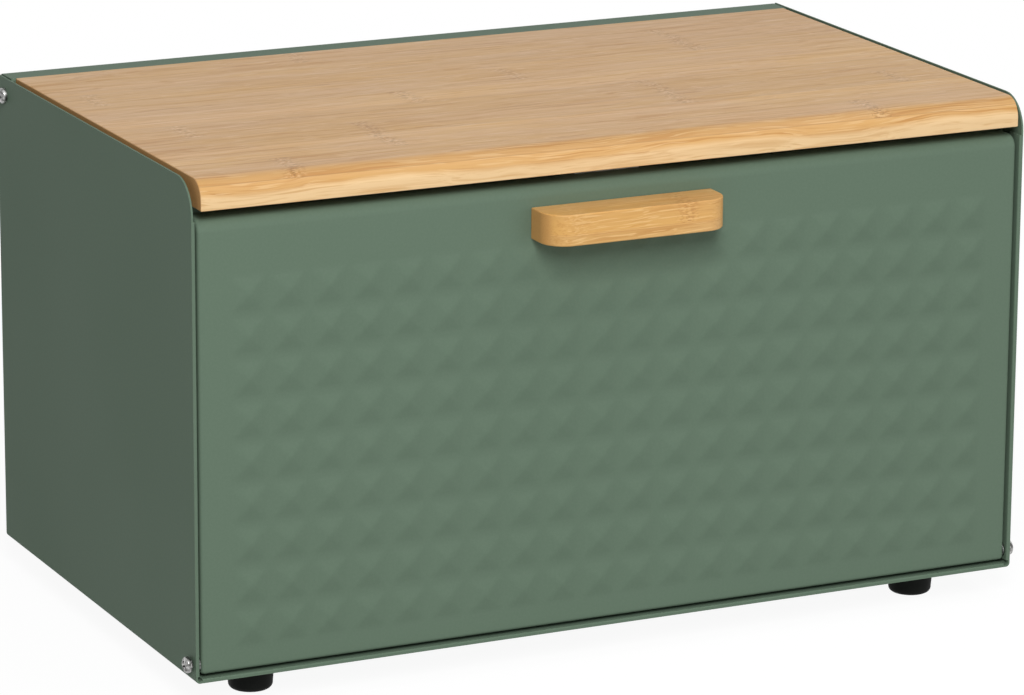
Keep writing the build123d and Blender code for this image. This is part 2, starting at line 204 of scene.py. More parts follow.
def bump(tree, shader, height, strength, distance):
    node = put(tree, "ShaderNodeBump", {}, {"Height": height, "Strength": strength, "Distance": distance})
    tree.links.new(node.outputs[0], shader.inputs["Normal"])


# Materials

COAT_DARK = rgba(0.109, 0.161, 0.114)
COAT_LIGHT = rgba(0.119, 0.1725, 0.1245)
COAT_SPECK = rgba(0.16, 0.215, 0.16)
COAT_GLOSS = 0.11
BAMBOO_GLOSS = 0.42

# Noise scales of the bamboo's marks, along its fibres and across them
WEAVE_GRAIN = (9.0, 22.0, 22.0)
FIBRE_GRAIN = (26.0, 1300.0, 1300.0)
STREAK_GRAIN = (11.0, 270.0, 270.0)
BAND_GRAIN = (2.2, 95.0, 95.0)
CLOUD_GRAIN = (9.0, 30.0, 30.0)
PATCH_GRAIN = (7.0, 26.0, 26.0)
THREAD_GRAIN = (13.0, 760.0, 760.0)
GLEAM_GRAIN = (50.0, 1500.0, 1500.0)
DASH_GRAIN = (520.0, 1500.0, 1500.0)

# How far the fibres sway, how soft the border of the plies is, and the size of a knot
FIBRE_SWAY = 13.0 * MM
PLY_BLEND = 1.1 * MM
PLY_SEAM = 0.22 * MM
KNOT_REACH = 7.0 * MM
KNOT_WOBBLE = 12.0 * MM

# What tells one strip's pattern from the next: a shift along X, and a jump in number for the lower ply
STRIP_SHIFT = 0.733
LOWER_PLY_JUMP = 37.0

# Tints that the bamboo's tones are multiplied by: yellower patches, dark fibres, cut ends
PATCH_TINT = rgba(1.02, 1.0, 0.80)
DARK_TINT = rgba(0.80, 0.68, 0.52)
END_TINT = rgba(1.0, 0.94, 0.86)
KNOT_SHINE = 0.42
SEAM_DARKNESS = 0.38


def powder_coat():
    """Satin sage-green powder coat with its fine orange-peel skin."""
    material, tree, shader, place = new_material("sage_powder_coat")
    drift = noise(tree, place, 9.0, 3.0)
    speck = noise(tree, place, 900.0, 1.0)
    tone = blend_colours(tree, drift, COAT_DARK, COAT_LIGHT)
    tone = blend_colours(tree, remap(tree, speck, 0.35, 0.7, 0.0, 0.10), tone, COAT_SPECK)
    tree.links.new(tone, shader.inputs["Base Color"])
    tree.links.new(remap(tree, drift, 0.2, 0.8, 0.56, 0.64), shader.inputs["Roughness"])
    shader.inputs["Specular IOR Level"].default_value = COAT_GLOSS
    peel = noise(tree, place, 620.0, 2.0, 0.6)
    bump(tree, shader, peel, 0.16, 0.12 * MM)
    return material


def bamboo(name, strips, strip_width, strip_start, knots, ply_height, tones, thread, gleam, joint, two_tone):
    """Strip bamboo along X: strips laid across one axis, two plies, knots at named places.

    Thread and gleam are the strengths of the dark and the pale fibres. Joint is 1 for a soft, wavy border
    between the plies and 0 for a fine glue line, and two_tone is how much paler the lower ply is.
    """
    honey, amber, pale, knot_tone, front_painted_shade = tones
    material, tree, shader, place = new_material(name)
    x, y, z = put(tree, "ShaderNodeSeparateXYZ", {}, {0: place}).outputs
    across = y if strips == "Y" else z
    count = maths(tree, "DIVIDE", maths(tree, "SUBTRACT", across, strip_start), strip_width)
    index = maths(tree, "FLOOR", count)
    part = maths(tree, "FRACT", count)
    below = maths(tree, "LESS_THAN", z, ply_height)
    seed = maths(tree, "ADD", index, maths(tree, "MULTIPLY", below, LOWER_PLY_JUMP))
    chance = put(tree, "ShaderNodeTexWhiteNoise", {"noise_dimensions": "1D"}, {"W": seed}).outputs["Value"]

    weave = maths(tree, "SUBTRACT", grain(tree, place, WEAVE_GRAIN, 3.0, 0.55), 0.5)
    sway = maths(tree, "MULTIPLY", weave, FIBRE_SWAY)
    border = joint * PLY_BLEND
    lower = remap(tree, maths(tree, "ADD", z, maths(tree, "MULTIPLY", sway, joint)),
                  ply_height - border, ply_height + border + 0.02 * MM, 1.0, 0.0)
    offset = put(tree, "ShaderNodeCombineXYZ", {},
                 {"X": maths(tree, "MULTIPLY", seed, STRIP_SHIFT), "Y": sway, "Z": sway}).outputs[0]
    shifted = put(tree, "ShaderNodeVectorMath", {"operation": "ADD"}, {0: place, 1: offset}).outputs[0]
    fibres = grain(tree, shifted, FIBRE_GRAIN, 3.0, 0.6)
    streaks = grain(tree, shifted, STREAK_GRAIN, 3.0, 0.55, 0.4)
    bands = grain(tree, shifted, BAND_GRAIN, 2.0)
    clouds = grain(tree, shifted, CLOUD_GRAIN, 2.0)
    patches = grain(tree, place, PATCH_GRAIN, 3.0, 0.6)
    threads = grain(tree, shifted, THREAD_GRAIN, 1.0, 0.5, 0.3)
    gleams = grain(tree, shifted, GLEAM_GRAIN, 1.0)
    dashes = grain(tree, shifted, DASH_GRAIN, 1.0)

    # Ground tone of each strip, then its dark and its pale fibres
    tone = blend_colours(tree, remap(tree, chance, 0.0, 1.0), honey, amber)
    tone = blend_colours(tree, remap(tree, clouds, 0.35, 0.7, 0.0, 0.55), tone, honey)
    tone = blend_colours(tree, remap(tree, patches, 0.42, 0.62), tone, tinted(tree, tone, PATCH_TINT))
    tone = blend_colours(tree, remap(tree, bands, 0.38, 0.66, 0.0, 0.45), tone, amber)
    tone = blend_colours(tree, maths(tree, "MULTIPLY", lower, two_tone), tone, pale)
    dark = tinted(tree, tone, DARK_TINT)
    tone = blend_colours(tree, remap(tree, streaks, 0.54, 0.70, 0.0, 0.60), tone, dark)
    tone = blend_colours(tree, remap(tree, fibres, 0.50, 0.68, 0.0, 0.55), tone, dark)
    tone = blend_colours(tree, remap(tree, threads, 0.60, 0.68, 0.0, thread), tone, dark)
    normal = put(tree, "ShaderNodeTexCoord").outputs["Normal"]
    facing = put(tree, "ShaderNodeSeparateXYZ", {}, {0: normal}).outputs
    sideways = maths(tree, "ABSOLUTE", facing[0])
    along_fibres = remap(tree, sideways, 0.15, 0.55, 1.0, 0.0)
    gleaming = maths(tree, "MULTIPLY", along_fibres, remap(tree, gleams, 0.58, 0.66, 0.0, gleam))
    tone = blend_colours(tree, gleaming, tone, pale)

    # Knots: short dark and pale dashes across a strip
    near = dark_near = None
    for knot_x, first, last, side, depth in knots:
        wobble = maths(tree, "MULTIPLY", maths(tree, "SUBTRACT", clouds, 0.5), KNOT_WOBBLE)
        away = maths(tree, "ABSOLUTE", maths(tree, "SUBTRACT", maths(tree, "ADD", x, wobble), knot_x))
        mask = remap(tree, away, 0.0, KNOT_REACH, 1.0, 0.0)
        mask = maths(tree, "MULTIPLY", mask, maths(tree, "GREATER_THAN", index, first - 0.5))
        mask = maths(tree, "MULTIPLY", mask, maths(tree, "LESS_THAN", index, last + 0.5))
        chosen = below if side == "lower" else maths(tree, "SUBTRACT", 1.0, below)
        mask = maths(tree, "MULTIPLY", mask, chosen)
        dark_mask = maths(tree, "MULTIPLY", mask, depth)
        near = mask if near is None else maths(tree, "MAXIMUM", near, mask)
        dark_near = dark_mask if dark_near is None else maths(tree, "MAXIMUM", dark_near, dark_mask)
    scar = maths(tree, "MULTIPLY", dark_near, remap(tree, dashes, 0.55, 0.61))
    shine = maths(tree, "MULTIPLY", near, remap(tree, dashes, 0.46, 0.40))
    smear = maths(tree, "MULTIPLY", dark_near, remap(tree, streaks, 0.36, 0.58, 0.10, 0.75))
    tone = blend_colours(tree, smear, tone, dark)
    tone = blend_colours(tree, scar, tone, knot_tone)
    tone = blend_colours(tree, maths(tree, "MULTIPLY", shine, KNOT_SHINE), tone, pale)

    # Glue lines, painted shading on the faces turned to the front, and the cut ends
    seam = remap(tree, maths(tree, "ABSOLUTE", maths(tree, "SUBTRACT", part, 0.5)), 0.488, 0.5)
    ply_seam = remap(tree, maths(tree, "ABSOLUTE", maths(tree, "SUBTRACT", z, ply_height)), 0.0, PLY_SEAM,
                     1.0 - joint, 0.0)
    seams = maths(tree, "MAXIMUM", seam, ply_seam)
    tone = blend_colours(tree, maths(tree, "MULTIPLY", seams, SEAM_DARKNESS), tone, knot_tone)

    # Painted shading: faces turned to the front get a tint that stands in for the light and sheen that differ
    # between top and front
    tone = blend_colours(tree, remap(tree, facing[1], -0.12, -0.55), tone, tinted(tree, tone, front_painted_shade))
    end_grain = remap(tree, sideways, 0.70, 0.92)
    pores = put(tree, "ShaderNodeTexVoronoi", {}, {"Vector": place, "Scale": 1500.0}).outputs["Distance"]
    end_tone = blend_colours(tree, remap(tree, pores, 0.05, 0.40, 0.45, 1.0), knot_tone, amber)
    tone = blend_colours(tree, end_grain, tone, tinted(tree, end_tone, END_TINT))

    tree.links.new(tone, shader.inputs["Base Color"])
    tree.links.new(remap(tree, streaks, 0.3, 0.75, 0.40, 0.52), shader.inputs["Roughness"])
    shader.inputs["Specular IOR Level"].default_value = BAMBOO_GLOSS
    sunk = maths(tree, "MULTIPLY", maths(tree, "MAXIMUM", seams, scar), 0.8)
    bump(tree, shader, maths(tree, "SUBTRACT", fibres, sunk), 0.10, 0.10 * MM)
    return material


def zinc(name, dark, light):
    """Zinc plate with fine turning marks, in two close tones."""
    material, tree, shader, place = new_material(name)
    shader.inputs["Metallic"].default_value = 1.0
    cloud = noise(tree, place, 520.0, 3.0)
    tone = blend_colours(tree, remap(tree, cloud, 0.38, 0.62), rgba(*dark), rgba(*light))
    tree.links.new(tone, shader.inputs["Base Color"])
    tree.links.new(remap(tree, cloud, 0.3, 0.7, 0.24, 0.34), shader.inputs["Roughness"])
    bump(tree, shader, noise(tree, place, 2600.0, 2.0), 0.12, 0.03 * MM)
    return material


def plain_finish(name, dark, light, rough, fineness, depth, metallic=0.0, gloss=0.3):
    """A moulded or rolled finish: two close tones, a fine grain and a soft sheen."""
    material, tree, shader, place = new_material(name)
    shader.inputs["Metallic"].default_value = metallic
    shader.inputs["Specular IOR Level"].default_value = gloss
    cloud = noise(tree, place, fineness * 0.08, 3.0)
    tree.links.new(blend_colours(tree, cloud, rgba(*dark), rgba(*light)), shader.inputs["Base Color"])
    tree.links.new(remap(tree, cloud, 0.25, 0.75, rough - 0.05, rough + 0.05), shader.inputs["Roughness"])
    bump(tree, shader, noise(tree, place, fineness, 2.0), 0.2, depth)
    return material


# Tones of a strip: honey, amber, pale lower ply, knots, and the tint of the painted shading on its front
# faces
BOARD_TONES = (rgba(0.652, 0.393, 0.175), rgba(0.556, 0.321, 0.133), rgba(0.800, 0.590, 0.380),
               rgba(0.330, 0.170, 0.060), rgba(0.96, 0.92, 0.77))
GRIP_TONES = (rgba(0.675, 0.385, 0.138), rgba(0.565, 0.315, 0.108), rgba(0.780, 0.505, 0.215),
              rgba(0.430, 0.190, 0.055), rgba(0.97, 0.96, 0.95))
# Knots as place along X, first and last strip from the front or from below, ply, and depth of colour
BOARD_KNOTS = (
    (-0.136, 0, 0, "upper", 0.80), (0.116, 0, 0, "upper", 0.80), (-0.083, 1, 2, "upper", 0.75),
    (0.052, 2, 3, "upper", 0.60), (-0.046, 4, 4, "upper", 0.60), (-0.150, 3, 3, "upper", 0.50),
    (0.104, 6, 7, "upper", 0.60), (-0.162, 6, 6, "upper", 0.50), (-0.055, 8, 8, "upper", 0.50),
    (0.010, 5, 5, "upper", 0.50), (0.150, 2, 2, "upper", 0.60), (0.040, 0, 0, "lower", 0.40),
    (-0.100, 0, 0, "lower", 0.40),
)
GRIP_KNOTS = ((-0.0265, 1, 1, "upper", 0.12), (0.0205, 1, 1, "upper", 0.65))

green = powder_coat()
board_bamboo = bamboo("board_bamboo", "Y", BOARD_STRIP, board_low.y + BOARD_STRIP_START, BOARD_KNOTS,
                      board_low.z + BOARD_LOWER_PLY, BOARD_TONES,
                      thread=0.85, gleam=0.35, joint=1.0, two_tone=0.85)
grip_bamboo = bamboo("grip_bamboo", "Z", GRIP_STRIP, grip_low.z + GRIP_STRIP_START, GRIP_KNOTS,
                     grip_low.z + GRIP_LOWER_PLY, GRIP_TONES,
                     thread=0.30, gleam=0.70, joint=0.0, two_tone=0.22)
zinc_plate = zinc("bright_zinc", (0.12, 0.12, 0.115), (0.50, 0.50, 0.49))
# A darker copy of the zinc for the pivot washers: painted shade for the gaps between flap and plates where
# they sit
dull_zinc = zinc("dull_zinc", (0.05, 0.055, 0.05), (0.17, 0.18, 0.17))
rubber = plain_finish("black_rubber", (0.005, 0.006, 0.005), (0.009, 0.010, 0.009), 0.62, 2400.0, 0.04 * MM,
                      gloss=0.10)
pad_rubber = plain_finish("pad_rubber", (0.030, 0.030, 0.029), (0.045, 0.045, 0.043), 0.60, 2600.0, 0.03 * MM)
housing_plastic = plain_finish("housing_plastic", (0.55, 0.55, 0.51), (0.63, 0.63, 0.59), 0.50, 1800.0,
                               0.04 * MM)
ferrite = plain_finish("ferrite", (0.035, 0.035, 0.037), (0.055, 0.055, 0.058), 0.65, 2200.0, 0.05 * MM)
rolled_steel = plain_finish("rolled_steel", (0.44, 0.44, 0.44), (0.58, 0.58, 0.57), 0.34, 1200.0, 0.02 * MM,
                            metallic=1.0)


# Mesh helpers

SHARP_FROM = math.radians(35.0)


def add_object(name, mesh, material=None):
    piece = bpy.data.objects.new(name, mesh)
    bpy.context.scene.collection.objects.link(piece)
    if material is not None and not mesh.materials:
        mesh.materials.append(material)
    return piece


def settle(piece):
    """Turns a piece's live modifiers into its own mesh."""
    graph = bpy.context.evaluated_depsgraph_get()
    mesh = bpy.data.meshes.new_from_object(piece.evaluated_get(graph), preserve_all_data_layers=True,
                                           depsgraph=graph)
    mesh.name = piece.name
    piece.modifiers.clear()
    piece.data = mesh
    return piece


def soften_edges(piece, width, segments=3, angle=32.0):
    """Rounds every edge sharper than the angle and keeps flat faces flat."""
    piece.data.polygons.foreach_set("use_smooth", [True] * len(piece.data.polygons))
    bevel = piece.modifiers.new("ease", "BEVEL")
    bevel.width = width
    bevel.segments = segments
    bevel.limit_method = "ANGLE"
    bevel.angle_limit = math.radians(angle)
    bevel.miter_outer = "MITER_ARC"
    flat = piece.modifiers.new("flat", "WEIGHTED_NORMAL")
    flat.mode = "FACE_AREA"
    flat.weight = 100
    return settle(piece)


def eased_copy(node, name, material, width):
    """A copy of a CAD node with merged faces and slightly rounded edges."""
    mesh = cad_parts[node].data.copy()
    mesh.materials.clear()
    work = bmesh.new()
    work.from_mesh(mesh)
    bmesh.ops.remove_doubles(work, verts=work.verts, dist=WELD)
    bmesh.ops.dissolve_limit(work, angle_limit=math.radians(0.8), verts=work.verts, edges=work.edges)
    work.to_mesh(mesh)
    work.free()
    return soften_edges(add_object(name, mesh, material), width, 2)


def lathe(profile, segments, name):
    """Turns a profile of (radius, height) points about Z into a closed mesh."""
    work = bmesh.new()
    rings = []
    for radius, height in profile:
        if radius < 1e-7:
            rings.append([work.verts.new((0, 0, height))])
            continue
        ring = [work.verts.new((radius * math.cos(math.tau * k / segments),
                                radius * math.sin(math.tau * k / segments), height))
                for k in range(segments)]
        rings.append(ring)
    for lower, upper in zip(rings, rings[1:]):
        for k in range(segments):
            after = (k + 1) % segments
            if len(lower) == 1:
                work.faces.new((lower[0], upper[after], upper[k]))
            elif len(upper) == 1:
                work.faces.new((lower[k], lower[after], upper[0]))
            else:
                work.faces.new((lower[k], lower[after], upper[after], upper[k]))
    bmesh.ops.recalc_face_normals(work, faces=work.faces)
    mesh = bpy.data.meshes.new(name)
    work.to_mesh(mesh)
    work.free()
    mesh.polygons.foreach_set("use_smooth", [True] * len(mesh.polygons))
    mesh.set_sharp_from_angle(angle=SHARP_FROM)
    return mesh


def arc(centre, radius, start, end, steps):
    """Points on an arc between two angles in degrees."""
    return [(centre[0] + radius * math.cos(math.radians(start + (end - start) * k / steps)),
             centre[1] + radius * math.sin(math.radians(start + (end - start) * k / steps)))
            for k in range(steps + 1)]


def prism(outline, place, depth, name):
    """Extrudes a closed outline of 2-D points: place maps a point and a depth to space."""
    work = bmesh.new()
    near = [work.verts.new(place(point, 0.0)) for point in outline]
    far = [work.verts.new(place(point, depth)) for point in outline]
    work.faces.new(near)
    work.faces.new(list(reversed(far)))
    for k in range(len(outline)):
        after = (k + 1) % len(outline)
        work.faces.new((near[k], far[k], far[after], near[after]))
    bmesh.ops.recalc_face_normals(work, faces=work.faces)
    mesh = bpy.data.meshes.new(name)
    work.to_mesh(mesh)
    work.free()
    return mesh


# Geometry node helpers

def new_tree(name, inputs):
    """A geometry tree with a mesh in, a mesh out and named inputs for its sizes."""
    tree = bpy.data.node_groups.new(name, "GeometryNodeTree")
    tree.interface.new_socket("Geometry", in_out="INPUT", socket_type="NodeSocketGeometry")
    for label, kind in inputs:
        tree.interface.new_socket(label, in_out="INPUT", socket_type=kind)
    tree.interface.new_socket("Geometry", in_out="OUTPUT", socket_type="NodeSocketGeometry")
    return tree, tree.nodes.new("NodeGroupInput"), tree.nodes.new("NodeGroupOutput")


def finish_tree(tree, leaving, geometry, material):
    whole = put(tree, "GeometryNodeRealizeInstances", {}, {"Geometry": geometry}).outputs[0]
    dressed = put(tree, "GeometryNodeSetMaterial", {}, {"Geometry": whole, "Material": material}).outputs[0]
    tree.links.new(dressed, leaving.inputs[0])


def run_tree(piece, tree, values):
    """Runs a geometry tree on a piece with its named inputs set, and keeps the result as plain mesh."""
    modifier = piece.modifiers.new(tree.name, "NODES")
    modifier.node_group = tree
    for item in tree.interface.items_tree:
        if item.item_type == "SOCKET" and item.in_out == "INPUT" and item.name in values:
            modifier[item.identifier] = values[item.name]
    return settle(piece)


def emboss_tree():
    """Presses rows of soft square pyramids into the flap: both sides of its face move forward together."""
    tree, entry, leaving = new_tree("pyramid_press", (
        ("Pitch", "NodeSocketFloat"), ("Columns", "NodeSocketFloat"), ("Rows", "NodeSocketFloat"),
        ("Land", "NodeSocketFloat"), ("Height", "NodeSocketFloat"), ("Softness", "NodeSocketFloat"),
        ("Middle Z", "NodeSocketFloat"), ("Face Y", "NodeSocketFloat")))
    pitch, columns, rows, land, height, softness, middle, face = entry.outputs[1:9]
    x, y, z = put(tree, "ShaderNodeSeparateXYZ", {},
                  {0: put(tree, "GeometryNodeInputPosition").outputs[0]}).outputs

    def cell_distance(value, centre, count):
        """Distance from the cell's middle, and whether the point is inside the pattern."""
        half = maths(tree, "MULTIPLY", maths(tree, "MULTIPLY", count, pitch), 0.5)
        from_start = maths(tree, "ADD", maths(tree, "SUBTRACT", value, centre), half)
        cells = maths(tree, "DIVIDE", from_start, pitch)
        away = maths(tree, "ABSOLUTE", maths(tree, "SUBTRACT", maths(tree, "FRACT", cells), 0.5))
        off_centre = maths(tree, "ABSOLUTE", maths(tree, "SUBTRACT", value, centre))
        return maths(tree, "MULTIPLY", away, pitch), maths(tree, "LESS_THAN", off_centre, half)

    across, inside_x = cell_distance(x, 0.0, columns)
    upright, inside_z = cell_distance(z, middle, rows)
    furthest = maths(tree, "SMOOTH_MAX", across, upright, softness)
    reach = maths(tree, "MULTIPLY", maths(tree, "SUBTRACT", pitch, land), 0.5)
    slope = maths(tree, "SUBTRACT", 1.0, maths(tree, "DIVIDE", furthest, reach))
    rise = maths(tree, "MULTIPLY", maths(tree, "SMOOTH_MAX", slope, 0.0, CELL_FOOT_SOFTNESS), height)
    rise = maths(tree, "MULTIPLY", rise, maths(tree, "MULTIPLY", inside_x, inside_z))
    at_face = maths(tree, "LESS_THAN", y, maths(tree, "ADD", face, 1.5 * SHEET))
    rise = maths(tree, "MULTIPLY", rise, at_face)
    shift = put(tree, "ShaderNodeCombineXYZ", {}, {"Y": maths(tree, "MULTIPLY", rise, -1.0)}).outputs[0]
    pressed = put(tree, "GeometryNodeSetPosition", {},
                  {"Geometry": entry.outputs[0], "Offset": shift}).outputs[0]
    finish_tree(tree, leaving, pressed, green)
    return tree


def scatter_tree(name, part, material):
    """Puts a copy of a part on every point of the mesh, with the direction and the size that it holds."""
    tree, entry, leaving = new_tree(name, (("Size", "NodeSocketFloat"),))
    source = put(tree, "GeometryNodeObjectInfo", {"transform_space": "ORIGINAL"},
                 {"Object": part, "As Instance": True}).outputs["Geometry"]
    direction = put(tree, "GeometryNodeInputNamedAttribute", {"data_type": "FLOAT_VECTOR"},
                    {"Name": "direction"}).outputs[0]
    turn = put(tree, "FunctionNodeAlignRotationToVector", {"axis": "Z"}, {"Vector": direction}).outputs[0]
    size = put(tree, "GeometryNodeInputNamedAttribute", {"data_type": "FLOAT_VECTOR"},
               {"Name": "size"}).outputs[0]
    sized = put(tree, "ShaderNodeVectorMath", {"operation": "SCALE"},
                {0: size, "Scale": entry.outputs[1]}).outputs[0]
    copies = put(tree, "GeometryNodeInstanceOnPoints", {},
                 {"Points": entry.outputs[0], "Instance": source, "Rotation": turn,
                  "Scale": sized}).outputs[0]
    finish_tree(tree, leaving, copies, material)
    return tree


def scatter(name, part, spots, material):
    """One mesh of copies of a part, one at each spot of (place, direction, size)."""
    points = bpy.data.meshes.new(name)
    points.from_pydata([spot[0] for spot in spots], [], [])
    for label, column in (("direction", 1), ("size", 2)):
        layer = points.attributes.new(label, "FLOAT_VECTOR", "POINT")
        for k, spot in enumerate(spots):
            layer.data[k].vector = spot[column]
    piece = add_object(name, points)
    run_tree(piece, scatter_tree(f"{name}_tree", part, material), {"Size": 1.0})
    piece.data.set_sharp_from_angle(angle=SHARP_FROM)
    return piece


def place_piece(piece, body, slot_name, *nodes):
    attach(piece, body)
    if nodes:
        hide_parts(*nodes)


# Flap

def even(low, high, count):
    return [low + (high - low) * k / count for k in range(count + 1)]


def pattern_lines(start, first, last, end, count):
    """Grid lines across the flap's face: a few in the margins and a fine set through the cells."""
    return (even(start, first, LOW_MARGIN_STEPS)[:-1] + even(first, last, count * CELL_STEPS)
            + even(last, end, HIGH_MARGIN_STEPS)[1:])


def pan_section(inner_low, inner_high, rows):
    """The flap from the side, bottom edge to top edge round the front: points and their outward normals."""
    back_y = face_y + PAN_DEPTH

    def bend(radius, middle_z, start, steps):
        points = []
        for k in range(steps + 1):
            turn = math.radians(start + 90 * k / steps)
            out_y, out_z = -math.cos(turn), math.sin(turn)
            points.append((face_y + radius * (1 + out_y), middle_z + radius * out_z, out_y, out_z))
        return points

    return ([(back_y, door_low.z, 0.0, -1.0)]
            + bend(PAN_BOTTOM_ROUND, inner_low, -90, BOTTOM_BEND_STEPS)
            + [(face_y, z, -1.0, 0.0) for z in rows[1:-1]]
            + bend(PAN_TOP_ROUND, inner_high, 0, TOP_BEND_STEPS)
            + [(back_y, door_high.z, 0.0, 1.0)])


def flap_mesh():
    """The outside of the pan, closed by a wall at each end, and the height of the pattern's middle."""
    half_x = (door_high.x - door_low.x) / 2
    inner_x = half_x - PAN_SIDE_ROUND
    inner_low = door_low.z + PAN_BOTTOM_ROUND
    inner_high = door_high.z - PAN_TOP_ROUND
    pattern_low = door_low.z + PATTERN_BOTTOM_MARGIN
    pattern_high = pattern_low + CELL_ROWS * CELL_PITCH
    pattern_side = CELL_COLUMNS * CELL_PITCH / 2
    section = pan_section(inner_low, inner_high,
                          pattern_lines(inner_low, pattern_low, pattern_high, inner_high, CELL_ROWS))
    turns = [math.radians(90 * k / SIDE_BEND_STEPS) for k in range(SIDE_BEND_STEPS, 0, -1)]
    ends = [(inner_x + PAN_SIDE_ROUND * math.sin(turn), PAN_SIDE_ROUND * (1 - math.cos(turn)))
            for turn in turns]
    columns = pattern_lines(-inner_x, -pattern_side, pattern_side, inner_x, CELL_COLUMNS)
    stations = [(-x, draw) for x, draw in ends]
    stations += [(x, 0.0) for x in columns]
    stations += [(x, draw) for x, draw in reversed(ends)]
    work = bmesh.new()
    grid = []
    for x, draw in stations:
        column = []
        for k, (y, z, out_y, out_z) in enumerate(section):
            at_back = k in (0, len(section) - 1)
            column.append(work.verts.new((x, y if at_back else y - out_y * draw, z - out_z * draw)))
        grid.append(column)
    for left, right in zip(grid, grid[1:]):
        for j in range(len(section) - 1):
            work.faces.new((left[j], right[j], right[j + 1], left[j + 1]))
    work.faces.new(grid[0])
    work.faces.new(list(reversed(grid[-1])))
    work.normal_update()
    mesh = bpy.data.meshes.new("flap_skin")
    work.to_mesh(mesh)
    work.free()
    mesh.polygons.foreach_set("use_smooth", [True] * len(mesh.polygons))
    return mesh, (pattern_low + pattern_high) / 2


def give_thickness(piece):
    """Turns the pan's outside into sheet steel by adding its inner face and the rim at its back."""
    wall = piece.modifiers.new("sheet", "SOLIDIFY")
    wall.thickness = SHEET
    wall.offset = -1.0
    wall.use_even_offset = True
    return settle(piece)


flap_shape, pattern_middle = flap_mesh()
flap = give_thickness(add_object("flap_skin", flap_shape, green))
run_tree(flap, emboss_tree(), {
    "Pitch": CELL_PITCH, "Columns": CELL_COLUMNS, "Rows": CELL_ROWS, "Land": CELL_LAND,
    "Height": CELL_HEIGHT, "Softness": CELL_SOFTNESS, "Middle Z": pattern_middle, "Face Y": face_y})
flap.data.set_sharp_from_angle(angle=math.radians(50.0))
place_piece(flap, "door", "green_powder_coat", "door_panel")

lip_half = (door_high.x - door_low.x) / 2 - LIP_END_GAP
lip_back = face_y + PAN_DEPTH
lip = add_object("flap_lip", prism(
    [(-lip_half, door_high.z - LIP_HEIGHT), (lip_half, door_high.z - LIP_HEIGHT),
     (lip_half, door_high.z - SHEET), (-lip_half, door_high.z - SHEET)],
    lambda point, depth: (point[0], lip_back - SHEET + depth, point[1]), SHEET, "flap_lip"), green)
soften_edges(lip, LIP_EASE)
place_piece(lip, "door", "green_powder_coat")


# Bamboo board and grip

def board_mesh():
    """The board's side outline, with its rounded front edge, run from end to end."""
    nose = arc((board_low.y + BOARD_NOSE, board_high.z - BOARD_NOSE), BOARD_NOSE, 180, 90, 18)
    outline = [(board_low.y, board_low.z), *nose, (board_high.y, board_high.z), (board_high.y, board_low.z)]
    width = board_high.x - board_low.x
    return prism(outline, lambda point, depth: (board_low.x + depth, point[0], point[1]), width, "board")


board = soften_edges(add_object("board", board_mesh(), board_bamboo), BOARD_EASE, 3, 40.0)
place_piece(board, "cabinet", "bamboo", "top_board")


def grip_mesh():
    """The grip seen from above: a bar with its two front corners fully rounded."""
    left = arc((grip_low.x + GRIP_END_ROUND, grip_low.y + GRIP_END_ROUND), GRIP_END_ROUND, 180, 270, 16)
    right = arc((grip_high.x - GRIP_END_ROUND, grip_low.y + GRIP_END_ROUND), GRIP_END_ROUND, 270, 360, 16)
    outline = [(grip_low.x, grip_high.y), *left, *right, (grip_high.x, grip_high.y)]
    return prism(outline, lambda point, depth: (point[0], point[1], grip_low.z + depth),
                 grip_high.z - grip_low.z, "bamboo_grip")


grip = soften_edges(add_object("bamboo_grip", grip_mesh(), grip_bamboo), GRIP_EASE, 3, 40.0)
place_piece(grip, "door", "bamboo", "grip")

# Folded steel pieces, with the fine rounding of a coated edge
for node, name in (("body_shell", "cabinet_shell"), ("back_panel", "back_sheet"),
                   ("left_board_rail", "rail_left"), ("right_board_rail", "rail_right")):
    place_piece(eased_copy(node, name, green, SHEET_EASE), "cabinet", "green_powder_coat", node)


# Feet

def foot_profile():
    """Half section of a rubber foot, from the middle of its tip up to its barb."""
    rim_radius = (foot_high.x - foot_low.x) / 2
    barb_z = FOOT_HEIGHT + STEM_LENGTH
    return ([(0, 0)]
            + arc((FOOT_TIP_RADIUS - FOOT_EDGE, FOOT_EDGE), FOOT_EDGE, -90, 8, 8)
            + [(rim_radius - FOOT_LEAN, FOOT_HEIGHT - FOOT_SHOULDER),
               (rim_radius - 2 * FOOT_LEAN, FOOT_HEIGHT),
               (STEM_RADIUS, FOOT_HEIGHT), (STEM_RADIUS, barb_z),
               (BARB_RADIUS, barb_z), (BARB_RADIUS, barb_z + BARB_THICKNESS),
               (BARB_TIP_RADIUS, foot_high.z), (0, foot_high.z)])


def keep_hidden(mesh, name):
    """A part that only serves as the source of copies; it isn't left in the scene."""
    return bpy.data.objects.new(name, mesh)


foot_part = keep_hidden(lathe(foot_profile(), 48, "foot_part"), "foot_part")
foot_names = ("foot_front_left", "foot_front_right", "foot_rear_left", "foot_rear_right")
foot_spots = []
for name in foot_names:
    low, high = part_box(name)
    foot_spots.append((((low.x + high.x) / 2, (low.y + high.y) / 2, 0.0), (0, 0, 1), (1, 1, 1)))
feet = scatter("feet", foot_part, foot_spots, rubber)
place_piece(feet, "cabinet", "black_rubber", *foot_names)


# Screws

